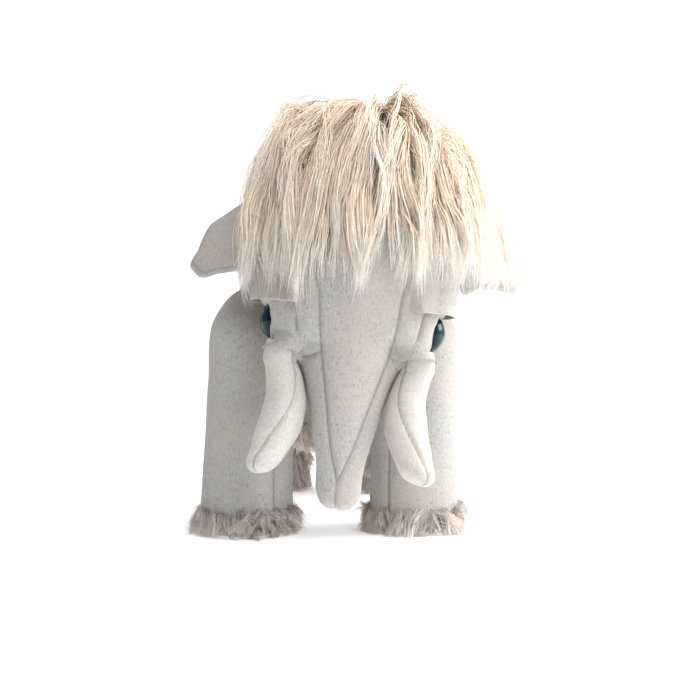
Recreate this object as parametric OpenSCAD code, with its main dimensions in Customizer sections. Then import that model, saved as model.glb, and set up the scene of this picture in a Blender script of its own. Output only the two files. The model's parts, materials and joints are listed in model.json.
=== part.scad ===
// Woolly elephant plush: linen body, faux-fur mop, cuffs and belly, stuffed tusks and trunk.
// +Z is up and the toy faces -Y, so its own left side is +X. Sizes are in millimetres.

/* [Head] */
// Half width of the head at its widest
head_half_w = 80; // [72:1:86]
// Roll of the head, its crown towards the toy's left, in degrees
head_roll = 5; // [0:0.5:6]
// How far the head sits towards the toy's left
head_shift = 14; // [8:1:16]
// Diameter of a safety eye
eye_d = 27; // [22:0.5:30]
// How far the mop of hair stands off the head
mop_depth = 18; // [10:1:20]

/* [Trunk and tusks] */
// Half width of the trunk at its root
trunk_half_w = 35; // [28:0.5:35]
// Fattest radius of a tusk
tusk_r = 14.8; // [11:0.1:15]
// Height that a tusk covers, root to tip
tusk_drop = 79; // [65:1:82]

/* [Ears] */
// Reach of an ear from its root line
ear_reach = 60; // [50:1:64]
// How far the left ear is swept back, in degrees
ear_sweep_left = 40; // [30:1:50]
// How far the right ear is swept back, in degrees
ear_sweep_right = 43; // [35:1:52]
// How far the left ear's tip is turned down, in degrees
ear_droop_left = -7; // [-10:1:10]
// How far the right ear's tip is turned down, in degrees
ear_droop_right = 4; // [-10:1:10]

/* [Torso] */
// Half width of the torso at its widest
torso_half_w = 90; // [84:1:92]
// Thickness of a fabric panel with its lining
skin = 2; // [1.5:0.1:2.5]

/* [Legs] */
// Radius of a leg at the top
leg_r = 33; // [29:0.5:33]
// Radius of a leg at the sole
foot_r = 34.5; // [30:0.5:35]
// Distance from the middle plane to a front leg's axis
front_leg_x = 64; // [62:1:66]
// Distance from the middle plane to a hind leg's axis
hind_leg_x = 64; // [58:1:66]
// How far both hind feet stand towards the toy's right
hind_shift = 6; // [0:1:8]
// How far the right front and left hind feet stand forward of the other two
stride = 12; // [0:1:14]
// Height of the fur cuff above the floor
cuff_h = 22; // [16:1:26]

/* [Hidden] */

// The middle of the toy's box stands on the origin.
stand_x = -20.5;
stand_y = -1.5;
far = 600;
gap = 0.4;
ring_sides = 24;
slice_t = 0.2;
left = 1;
right = -1;

LINEN = "#c9c4bc";
FUR = "#b3a195";
HAIR = "#efe2cd";
TUSK = "#dcd8d0";
FILL = "#f4f3ee";

// Rings of the torso, front to back: [y, z of centre, half width, half height].
TORSO = [[-102, 185, 0.69, 40], [-90, 172, 0.85, 62], [-70, 158, 0.93, 84], [-30, 152, 0.98, 92],
    [30, 150, 1, 90], [90, 146, 0.98, 86], [140, 140, 0.9, 78], [175, 136, 0.73, 64],
    [200, 134, 0.44, 42], [208, 134, 0.16, 16]];
// Rings of the head, crown to chin: [z, y of centre, share of the half width, half depth].
HEAD = [[318, -135, 0.13, 12], [312, -135, 0.43, 38], [298, -135, 0.7, 57], [275, -135, 0.88, 67],
    [250, -136, 0.96, 72], [225, -140, 1, 74], [200, -150, 0.98, 64], [178, -168, 0.88, 46],
    [160, -182, 0.8, 31], [145, -185, 0.72, 28], [132, -186, 0.62, 26]];
// Rings of the trunk, root to tip: [z, y of centre, share of the half width, half depth].
TRUNK = [[154, -186, 1, 26], [128, -186, 1, 26], [107, -190, 0.8, 24], [87, -194, 0.64, 21],
    [67, -198, 0.5, 18], [50, -202, 0.4, 15], [38, -205, 0.36, 13], [32, -206, 0.26, 10],
    [30, -206, 0.14, 6]];
// Radius of a tusk along its length, as shares of its fattest radius.
TUSK_SHARES = [0.64, 0.82, 0.95, 1, 0.97, 0.88, 0.72, 0.46];

neck = [0, -40, 185];
neck_r = 62;
neck_low = 150;
hinge_gap = 0.8;
slot_gap = 1.5;
trunk_hinge = [0, -186, 128];
trunk_top_r = 26;
roll_z = 150;
tusk_x = 49;
tusk_y = -190;
tusk_z = 130;
tusk_out = 8;
tusk_bow = 7;
tusk_forward = 32;
tusk_tip_tilt = 28;
tusk_flat = 0.9;
eye_at = [57.5, -176, 159];
eye_dome = 10;
eye_turn = 14;
eye_stem = 14;
stem_r = 3;
ear_at = [85, -128, 200];
ear_tilt = 5;
ear_t = 1.8;
// The right ear's edge, from its root: [share of the reach, height].
EAR = [[0.04, -3], [0.22, -5], [0.52, -7.5], [0.78, -11], [0.91, -7.5], [1, -2], [0.97, 3], [0.88, 10],
    [0.81, 20], [0.72, 31], [0.52, 39], [0.28, 47], [0.1, 52], [0.04, 52]];
front_y = -108;
hind_y = 148;
front_hip_z = 150;
hind_hip_z = 125;
leg_swing = 6;
leg_seam_turn = 38;
leg_relief = 7;
knee_z = 90;
sole_t = 3;
cuff_out = 7;
tail_at = [0, 214, 165];
tail_lean = 8;
tail_l = 58;
tail_r = 7;
tail_end_r = 4.5;

function shrunk(v, low, high, t) = (low + high) / 2
    + (v - (low + high) / 2) * (1 - 2 * t / (high - low));

module placed() {
    translate([stand_x, stand_y, 0]) children();
}

module in_head() {
    placed() translate([head_shift, 0, roll_z]) rotate([0, head_roll, 0])
        translate([0, 0, -roll_z]) children();
}

module oval(half_w, half_h) {
    linear_extrude(slice_t, center = true) scale([half_w, half_h]) circle(1, $fn = ring_sides);
}

// A body lofted along Y, its surface moved inwards by t.
module torso_shape(t) {
    module ring(r) {
        translate([0, shrunk(r[0], TORSO[0][0], TORSO[len(TORSO) - 1][0], t), r[1]])
            rotate([90, 0, 0]) oval(r[2] * torso_half_w - t, r[3] - t);
    }
    for (i = [0:len(TORSO) - 2]) hull() {
        ring(TORSO[i]);
        ring(TORSO[i + 1]);
    }
}

// A body lofted along Z, its surface moved inwards by t.
module upright_shape(rings, half_w, t) {
    module ring(r) {
        translate([0, r[1], shrunk(r[0], rings[len(rings) - 1][0], rings[0][0], t)])
            oval(r[2] * half_w - t, r[3] - t);
    }
    for (i = [0:len(rings) - 2]) hull() {
        ring(rings[i]);
        ring(rings[i + 1]);
    }
}

module head_shape(t) {
    upright_shape(HEAD, head_half_w, t);
}

// Everything on one side of the middle plane.
module half_space(side) {
    translate([side > 0 ? 0 : -far, -far, -far]) cube([far, 2 * far, 2 * far]);
}

module cross_cylinder(at, r, half_l) {
    translate(at) rotate([0, 90, 0]) cylinder(h = 2 * half_l, r = r, center = true, $fn = 72);
}

function leg_at(front, side) = [front ? side * front_leg_x : side * hind_leg_x - hind_shift,
    (front ? front_y : hind_y) + (front ? 1 : -1) * side * stride / 2,
    front ? front_hip_z : hind_hip_z];

// Room for one leg and its swing, cut from what lies around it.
module leg_pocket(front, side, extra) {
    translate(leg_at(front, side)) {
        sphere(leg_r + extra, $fn = 32);
        hull() for (a = [-leg_swing - 1, leg_swing + 1]) rotate([a, 0, 0])
            translate([0, 0, -far / 4]) cylinder(h = far / 4, r = leg_r + extra + 1, $fn = 32);
    }
}

module all_pockets(extra) {
    for (front = [true, false]) for (side = [left, right]) leg_pocket(front, side, extra);
}

// What the head sweeps as it nods.
module head_room() {
    difference() {
        translate([-far / 2, -far, neck_low]) cube([far, far + neck[1], far]);
        cross_cylinder(neck, neck_r, far);
    }
}

module torso_cuts() {
    all_pockets(1);
    head_room();
}

module torso_stuffing() {
    color(FILL) placed() difference() {
        torso_shape(skin + gap);
        torso_cuts();
    }
}

module torso_side(side) {
    color(LINEN) placed() difference() {
        torso_shape(0);
        torso_shape(skin);
        half_space(-side);
        torso_cuts();
    }
}

module belly_fur() {
    belly_w = 84;
    belly_l = 232;
    belly_front = -88;
    belly_low = 40;
    belly_high = 88;
    belly_depth = 9;
    color(FUR) placed() intersection() {
        difference() {
            torso_shape(-belly_depth);
            torso_shape(-gap);
            all_pockets(belly_depth / 4);
        }
        translate([-belly_w / 2, belly_front, belly_low]) cube([belly_w, belly_l, belly_high - belly_low]);
    }
}

// Room for the trunk's root and the eyes, in the head's own frame.
module head_cuts() {
    slot_half_w = trunk_half_w + slot_gap;
    trunk_seat(slot_half_w);
    translate([-slot_half_w, -far / 2, -far / 2]) cube([2 * slot_half_w, far, far / 2 + roll_z]);
    for (side = [left, right]) eye_frame(side) translate([0, 0, -eye_stem - 2])
        cylinder(h = far / 10, r = eye_d / 2 + gap, $fn = 48);
}

module trunk_seat(half_l) {
    cross_cylinder(trunk_hinge, trunk_top_r + hinge_gap, half_l);
}

// Room for the neck and for the tops of the front legs as the head nods.
module neck_cut() {
    placed() {
        cross_cylinder(neck, neck_r + hinge_gap, far / 2);
        translate([-far / 2, neck[1], 0]) cube([far, far, far]);
        for (side = [left, right]) translate(leg_at(true, side)) sphere(leg_r + leg_relief, $fn = 40);
    }
}

// The face strip runs down the front between its two seams.
module strip_region(extra) {
    translate([0, -135, 0]) rotate([90, 0, 0]) linear_extrude(far / 4)
        polygon([[-26 - extra, 100], [26 + extra, 100], [31 + extra, 186], [33 + extra, 330],
            [-33 - extra, 330], [-31 - extra, 186]]);
}

module head_stuffing() {
    color(FILL) difference() {
        in_head() difference() {
            head_shape(skin + gap);
            head_cuts();
        }
        neck_cut();
    }
}

module head_side(side) {
    color(LINEN) difference() {
        in_head() difference() {
            head_shape(0);
            head_shape(skin);
            half_space(-side);
            strip_region(0);
            head_cuts();
        }
        neck_cut();
    }
}

module face_strip() {
    color(LINEN) difference() {
        in_head() intersection() {
            difference() {
                head_shape(0);
                head_shape(skin);
                head_cuts();
            }
            strip_region(0);
        }
        neck_cut();
    }
}

// The mop stands off the crown, with a fringe down the forehead.
module hair_mop() {
    fringe_z = 200;
    fringe_y = -185;
    fringe_half_w = 62;
    crown_z = 262;
    color(HAIR) in_head() difference() {
        head_shape(-mop_depth);
        head_shape(-gap);
        translate([-far / 2, -far / 2, fringe_z - far]) cube([far, far, far]);
        translate([-far / 2, fringe_y, crown_z - far]) cube([far, far, far]);
        for (side = [left, right]) translate([side * (far / 2 + fringe_half_w), 0, crown_z - far / 2])
            cube([far, far, far], center = true);
    }
}

// A folded patch on the cheek, where the tusk is sewn in.
module cheek(side) {
    low = 132;
    high = 145;
    inner_x = 44;
    back_y = -168;
    color(LINEN) in_head() difference() {
        head_shape(-1.6);
        head_shape(-0.1);
        half_space(-side);
        trunk_seat(trunk_half_w + slot_gap);
        translate([-far / 2, -far / 2, high]) cube([far, far, far]);
        translate([-far / 2, -far / 2, low - far]) cube([far, far, far]);
        translate([-inner_x, -far / 2, 0]) cube([2 * inner_x, far, far]);
        translate([-far / 2, back_y, 0]) cube([far, far, far]);
    }
}

// The folded flap over an eye.
module brow(side) {
    high = 190;
    fold_r = 11;
    fold_half_l = 16;
    color(LINEN) in_head() difference() {
        translate([side * 58, -178, 176]) rotate([14, 0, 0])
            hull() for (y = [-fold_half_l, fold_half_l]) translate([0, y, 0]) sphere(fold_r, $fn = 20);
        head_shape(-0.2);
        eye_frame(side) cylinder(h = 3 * eye_d, r = eye_d / 2 + 0.6, center = true, $fn = 48);
        translate([-far / 2, -far / 2, high]) cube([far, far, far]);
    }
}

module eye_frame(side) {
    translate([side * eye_at[0], eye_at[1], eye_at[2]])
        rotate([0, 0, -side * eye_turn]) rotate([0, side * 90, 0]) children();
}

module eye(side) {
    dome_r = (pow(eye_d / 2, 2) + pow(eye_dome, 2)) / (2 * eye_dome);
    color("#0f1f22") in_head() eye_frame(side) {
        intersection() {
            translate([0, 0, eye_dome - dome_r]) sphere(dome_r, $fn = 96);
            cylinder(h = eye_d, r = eye_d / 2, $fn = 96);
        }
        translate([0, 0, -2]) cylinder(h = 2, r = eye_d / 2, $fn = 96);
        translate([0, 0, -eye_stem]) cylinder(h = eye_stem - 1, r = stem_r, $fn = 48);
    }
}

module eye_washer(side) {
    color("#f0f0ee") in_head() eye_frame(side) translate([0, 0, -6]) difference() {
        cylinder(h = 1.6, r = 11, $fn = 72);
        translate([0, 0, -1]) cylinder(h = 4, r = stem_r + 0.1, $fn = 48);
    }
}

module trunk_shape(t) {
    intersection() {
        upright_shape(TRUNK, trunk_half_w, t);
        union() {
            cross_cylinder(trunk_hinge, trunk_top_r - t, far / 2);
            translate([-far / 2, -far, trunk_hinge[2] - far]) cube([far, far, far]);
        }
    }
}

// The front panel of the trunk narrows to a point where the two side panels meet.
module trunk_front_region() {
    translate([0, -190, 0]) rotate([90, 0, 0]) linear_extrude(far / 4)
        polygon([[-26, 160], [-25, 128], [-17, 90], [0, 48], [17, 90], [25, 128], [26, 160]]);
}

module trunk_stuffing() {
    color(FILL) in_head() trunk_shape(skin + gap);
}

module trunk_side(side) {
    color(LINEN) in_head() difference() {
        trunk_shape(0);
        trunk_shape(skin);
        half_space(-side);
        trunk_front_region();
    }
}

module trunk_front() {
    color(LINEN) in_head() intersection() {
        difference() {
            trunk_shape(0);
            trunk_shape(skin);
        }
        trunk_front_region();
    }
}

// A tusk curves down, forward and a little outwards from its root.
module tusk_shape(t) {
    last = len(TUSK_SHARES) - 1;
    module ring(i) {
        f = i / last;
        bow = tusk_out * pow(f, 2.5) - tusk_bow * sin(180 * pow(f, 0.8));
        translate([bow, -tusk_forward * pow(f, 1.4), shrunk(-tusk_drop * f, -tusk_drop, 0, t)])
            rotate([-f * tusk_tip_tilt, 0, 0])
            oval(TUSK_SHARES[i] * tusk_r - t, TUSK_SHARES[i] * tusk_r * tusk_flat - t);
    }
    for (i = [0:last - 1]) hull() {
        ring(i);
        ring(i + 1);
    }
}

module tusk_frame(side) {
    in_head() mirror([side > 0 ? 0 : 1, 0, 0]) translate([tusk_x, tusk_y, tusk_z]) children();
}

module tusk_stuffing(side) {
    color(FILL) tusk_frame(side) tusk_shape(skin + gap);
}

// Outwards is 1 for the panel away from the trunk and -1 for the one beside it.
module tusk_panel(side, outwards) {
    color(TUSK) tusk_frame(side) difference() {
        tusk_shape(0);
        tusk_shape(skin);
        rotate([0, -atan(tusk_out / tusk_drop), 0]) half_space(-outwards);
    }
}

module ear_outline() {
    round_r = 3;
    offset(round_r, $fn = 32) offset(-round_r) polygon([for (p = EAR) [p[0] * ear_reach, p[1]]]);
}

module ear_layer(side, back) {
    sweep = side > 0 ? ear_sweep_left : ear_sweep_right;
    droop = side > 0 ? ear_droop_left : ear_droop_right;
    color(LINEN) in_head() mirror([side > 0 ? 0 : 1, 0, 0]) translate(ear_at)
        rotate([0, -ear_tilt, 0]) rotate([0, 0, sweep]) rotate([90, 0, 0])
        translate([0, 0, back ? -ear_t : 0]) linear_extrude(ear_t) rotate(-droop) ear_outline();
}

// A leg's outline turned about its own axis, its surface moved inwards by t.
module leg_profile(hip_z, t, low) {
    intersection() {
        union() {
            translate([0, hip_z]) circle(leg_r - t, $fn = 96);
            polygon([[0, low], [foot_r - t, low], [foot_r - t, cuff_h], [leg_r - t, knee_z],
                [leg_r - t, hip_z], [0, hip_z]]);
        }
        translate([0, low]) square([far, far]);
    }
}

module leg_frame(front, side) {
    at = leg_at(front, side);
    placed() translate([at[0], at[1], 0]) children();
}

module leg_stuffing(front, side) {
    color(FILL) leg_frame(front, side) rotate_extrude($fn = 96)
        leg_profile(leg_at(front, side)[2], skin + gap, sole_t + gap);
}

// The seams lie on the inner side of the leg, turned back from its front and rear by leg_seam_turn.
module leg_panel(front, side, outwards) {
    inner_half = 90 - leg_seam_turn;
    inwards = side > 0 ? 180 : 0;
    color(LINEN) leg_frame(front, side) rotate([0, 0, inwards + (outwards > 0 ? inner_half : -inner_half)])
        rotate_extrude(angle = outwards > 0 ? 360 - 2 * inner_half : 2 * inner_half, $fn = 96) difference() {
            leg_profile(leg_at(front, side)[2], 0, sole_t);
            leg_profile(leg_at(front, side)[2], skin, 0);
        }
}

module leg_sole(front, side) {
    color(LINEN) leg_frame(front, side) cylinder(h = sole_t, r = foot_r, $fn = 96);
}

module leg_cuff(front, side) {
    inner_r = foot_r + 0.1;
    low = 0.5;
    color(FUR) leg_frame(front, side) rotate_extrude($fn = 96)
        polygon([[inner_r, low], [foot_r + cuff_out, low], [foot_r + cuff_out - 1, cuff_h * 0.6],
            [foot_r + 1, cuff_h], [inner_r, cuff_h]]);
}

module tail_core() {
    color(LINEN) placed() translate(tail_at) rotate([180 + tail_lean, 0, 0])
        cylinder(h = tail_l, r1 = tail_r, r2 = tail_end_r, $fn = 48);
}

module tail_tuft() {
    color(FUR) placed() translate(tail_at) rotate([180 + tail_lean, 0, 0]) translate([0, 0, tail_l + 0.2])
        rotate_extrude($fn = 64)
        polygon([[0, 0], [5, 0], [10, 8], [11, 18], [7, 30], [0, 38]]);
}

torso_stuffing();
torso_side(left);  // torso_side_left
torso_side(right);  // torso_side_right
belly_fur();
head_stuffing();
head_side(left);  // head_side_left
head_side(right);  // head_side_right
face_strip();
hair_mop();
cheek(left);  // cheek_left
cheek(right);  // cheek_right
brow(left);  // brow_left
brow(right);  // brow_right
eye(left);  // eye_left
eye(right);  // eye_right
eye_washer(left);  // eye_washer_left
eye_washer(right);  // eye_washer_right
trunk_stuffing();
trunk_side(left);  // trunk_side_left
trunk_side(right);  // trunk_side_right
trunk_front();
tusk_stuffing(left);  // tusk_left_stuffing
tusk_panel(left, 1);  // tusk_left_outer
tusk_panel(left, -1);  // tusk_left_inner
tusk_stuffing(right);  // tusk_right_stuffing
tusk_panel(right, 1);  // tusk_right_outer
tusk_panel(right, -1);  // tusk_right_inner
ear_layer(left, false);  // ear_left_front
ear_layer(left, true);  // ear_left_back
ear_layer(right, false);  // ear_right_front
ear_layer(right, true);  // ear_right_back
leg_stuffing(true, left);  // front_left_stuffing
leg_panel(true, left, 1);  // front_left_outer
leg_panel(true, left, -1);  // front_left_inner
leg_sole(true, left);  // front_left_sole
leg_cuff(true, left);  // front_left_cuff
leg_stuffing(true, right);  // front_right_stuffing
leg_panel(true, right, 1);  // front_right_outer
leg_panel(true, right, -1);  // front_right_inner
leg_sole(true, right);  // front_right_sole
leg_cuff(true, right);  // front_right_cuff
leg_stuffing(false, left);  // hind_left_stuffing
leg_panel(false, left, 1);  // hind_left_outer
leg_panel(false, left, -1);  // hind_left_inner
leg_sole(false, left);  // hind_left_sole
leg_cuff(false, left);  // hind_left_cuff
leg_stuffing(false, right);  // hind_right_stuffing
leg_panel(false, right, 1);  // hind_right_outer
leg_panel(false, right, -1);  // hind_right_inner
leg_sole(false, right);  // hind_right_sole
leg_cuff(false, right);  // hind_right_cuff
tail_core();
tail_tuft();
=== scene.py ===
"""Looks of the woolly elephant plush: sewn linen skins, stuffed tusks, ears, eyes and fur."""
import json
import math

import bmesh
import bpy
import numpy as np
from mathutils import Matrix, Vector
from mathutils.bvhtree import BVHTree


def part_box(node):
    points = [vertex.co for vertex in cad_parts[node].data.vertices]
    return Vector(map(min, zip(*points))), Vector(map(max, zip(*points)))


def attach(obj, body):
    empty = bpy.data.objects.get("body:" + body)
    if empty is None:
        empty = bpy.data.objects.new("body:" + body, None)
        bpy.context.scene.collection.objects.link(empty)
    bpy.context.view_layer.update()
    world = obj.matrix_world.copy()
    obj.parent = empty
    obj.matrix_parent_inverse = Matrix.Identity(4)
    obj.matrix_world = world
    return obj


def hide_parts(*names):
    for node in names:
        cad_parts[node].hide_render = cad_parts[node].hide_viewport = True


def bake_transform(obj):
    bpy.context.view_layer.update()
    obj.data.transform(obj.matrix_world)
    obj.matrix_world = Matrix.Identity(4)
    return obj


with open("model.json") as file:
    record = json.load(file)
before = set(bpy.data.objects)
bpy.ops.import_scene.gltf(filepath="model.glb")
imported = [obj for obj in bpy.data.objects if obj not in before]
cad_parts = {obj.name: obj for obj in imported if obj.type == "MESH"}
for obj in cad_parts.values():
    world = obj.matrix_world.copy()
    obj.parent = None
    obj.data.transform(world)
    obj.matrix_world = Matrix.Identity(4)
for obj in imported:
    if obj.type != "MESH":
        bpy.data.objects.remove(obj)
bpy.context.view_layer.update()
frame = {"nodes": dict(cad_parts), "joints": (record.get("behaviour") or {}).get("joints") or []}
MM = 0.001
JOINTS = {j["name"]: j for j in frame["joints"]}


def joint_at(name):
    return Vector(JOINTS[name]["pos_m"])


NECK = joint_at("head_nod")
TRUNK_HINGE = joint_at("trunk_swing")
HEAD_X = Vector(JOINTS["trunk_swing"]["axis"]).normalized()
HEAD_UP = HEAD_X.cross(Vector((0, 1, 0))).normalized()
BODY_X = NECK.x
# The head's own frame: x to its left, y backwards, z to its crown, from the trunk's hinge.
TRUNK_Z = 128 * MM
TRUNK_Y = -186 * MM
SIDES = {"left": 1, "right": -1}
AHEAD = Vector((0, -1, 0))
LEGS = ("front_left", "front_right", "hind_left", "hind_right")
LEG_R = 33 * MM
FOOT_R = 34.5 * MM
FACE_X = 4 * MM
SKIN_VOXEL = 3.2 * MM
SPLAY = 4 * MM  # how far the front right foot stands out from under its hip
LEG_SEAM_TURN = math.radians(38)
NO_SEAM = 20.0  # a seam attribute, in mm, too far off to show
FAR = 1.0  # metres, beyond any distance on the toy


def head_to_row(p):
    """A point in the head's own frame, as a point in the row frame."""
    return (TRUNK_HINGE + HEAD_X * p[0] + Vector((0, 1, 0)) * (p[1] - TRUNK_Y)
            + HEAD_UP * (p[2] - TRUNK_Z))


def rows_to_head(co):
    """Points in the row frame, as an array of points in the head's own frame."""
    d = co - np.array(TRUNK_HINGE)
    x = d @ np.array(HEAD_X)
    z = d @ np.array(HEAD_UP) + TRUNK_Z
    return np.column_stack([x, d[:, 1] + TRUNK_Y, z])


# ---------------------------------------------------------------- mesh helpers

def vertices(obj):
    co = np.empty(len(obj.data.vertices) * 3)
    obj.data.vertices.foreach_get("co", co)
    return co.reshape(-1, 3)


def set_vertices(obj, co):
    obj.data.vertices.foreach_set("co", np.ascontiguousarray(co, dtype=np.float64).ravel())
    obj.data.update()


def normals(obj):
    no = np.empty(len(obj.data.vertices) * 3)
    obj.data.vertex_normals.foreach_get("vector", no)
    return no.reshape(-1, 3)


def link_mesh(name, mesh):
    obj = bpy.data.objects.new(name, mesh)
    bpy.context.scene.collection.objects.link(obj)
    return obj


def new_object(name, points, faces):
    mesh = bpy.data.meshes.new(name)
    mesh.from_pydata([tuple(p) for p in points], [], [tuple(f) for f in faces])
    mesh.update()
    mesh.shade_smooth()
    return link_mesh(name, mesh)


def tube_faces(rings, spokes):
    """The faces of a closed tube whose points go round ring by ring, with a cap at each end."""
    sides = [(i * spokes + k, i * spokes + (k + 1) % spokes, (i + 1) * spokes + (k + 1) % spokes,
              (i + 1) * spokes + k) for i in range(rings) for k in range(spokes)]
    first = tuple(range(spokes))[::-1]
    last = tuple(rings * spokes + k for k in range(spokes))
    return [*sides, first, last]


def apply_modifier(obj, kind, **settings):
    modifier = obj.modifiers.new(kind, kind)
    for key, value in settings.items():
        setattr(modifier, key, value)
    graph = bpy.context.evaluated_depsgraph_get()
    graph.update()
    mesh = bpy.data.meshes.new_from_object(obj.evaluated_get(graph))
    obj.modifiers.clear()
    old = obj.data
    obj.data = mesh
    bpy.data.meshes.remove(old)


def attribute(obj, name, values):
    layer = obj.data.attributes.new(name, "FLOAT", "POINT")
    layer.data.foreach_set("value", np.asarray(values, dtype=np.float32))


def joined_nodes(name, nodes):
    """One new mesh that holds copies of several CAD nodes."""
    mesh = bmesh.new()
    for node in nodes:
        mesh.from_mesh(frame["nodes"][node].data)
    data = bpy.data.meshes.new(name)
    mesh.to_mesh(data)
    mesh.free()
    return link_mesh(name, data)


def tree_of(*objects):
    """A tree for ray casts and nearest points on several meshes."""
    mesh = bmesh.new()
    for obj in objects:
        mesh.from_mesh(obj.data)
    tree = BVHTree.FromBMesh(mesh)
    mesh.free()
    return tree


def fix_normals(obj):
    mesh = bmesh.new()
    mesh.from_mesh(obj.data)
    bmesh.ops.recalc_face_normals(mesh, faces=mesh.faces)
    mesh.to_mesh(obj.data)
    mesh.free()


def unit_rows(rows):
    """Each row scaled to length 1, or left at 0."""
    return rows / (np.linalg.norm(rows, axis=-1, keepdims=True) + 1e-12)


def wrapped(angle):
    """The same angle, between -pi and pi."""
    return math.atan2(math.sin(angle), math.cos(angle))


def smooth_step(t):
    t = np.clip(t, 0, 1)
    return t * t * (3 - 2 * t)


def noise3(co, scale, seed=0):
    """Smooth noise from a few seeded sine waves, about -1 to 1."""
    rng = np.random.default_rng(seed)
    total = np.zeros(len(co))
    for _ in range(6):
        k = rng.normal(size=3)
        k *= 2 * math.pi / (scale * np.linalg.norm(k)) * rng.uniform(0.7, 1.4)
        total += np.sin(co @ k + rng.uniform(0, 2 * math.pi))
    return total / 3


# ---------------------------------------------------------------- materials

class Nodes:
    """A material's node tree, with short calls to add and join nodes."""

    def __init__(self, name, **principled):
        self.material = bpy.data.materials.new(name)
        self.material.use_nodes = True
        self.tree = self.material.node_tree
        self.shader = self.tree.nodes["Principled BSDF"]
        for key, value in principled.items():
            self.shader.inputs[key.replace("_", " ")].default_value = value

    def add(self, kind, inputs=(), **settings):
        node = self.tree.nodes.new(kind)
        for key, value in settings.items():
            setattr(node, key, value)
        for key, value in dict(inputs).items():
            if isinstance(value, bpy.types.NodeSocket):
                self.tree.links.new(value, node.inputs[key])
            else:
                node.inputs[key].default_value = value
        return node

    def math(self, operation, a, b=0.0, c=0.0):
        return self.add("ShaderNodeMath", {0: a, 1: b, 2: c}, operation=operation).outputs[0]

    def vector(self, operation, a, b):
        return self.add("ShaderNodeVectorMath", {0: a, 1: b}, operation=operation).outputs[0]

    def mix(self, factor, a, b):
        node = self.add("ShaderNodeMix", {"Factor": factor}, data_type="RGBA")
        for key, value in ((6, a), (7, b)):
            if isinstance(value, bpy.types.NodeSocket):
                self.tree.links.new(value, node.inputs[key])
            else:
                node.inputs[key].default_value = (*value, 1)
        return node.outputs[2]

    def noise(self, vector, scale, detail=2.0):
        return self.add("ShaderNodeTexNoise",
                        {"Vector": vector, "Scale": scale, "Detail": detail}).outputs["Fac"]

    def band(self, value, low, high):
        """0 below low and 1 above high, smooth between."""
        return self.add("ShaderNodeMapRange",
                        {"Value": value, "From Min": low, "From Max": high},
                        interpolation_type="SMOOTHSTEP").outputs["Result"]

    def link(self, output, key):
        self.tree.links.new(output, self.shader.inputs[key])


WARP_PITCH = 1.05 * MM
WEFT_PITCH = 1.15 * MM


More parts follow.
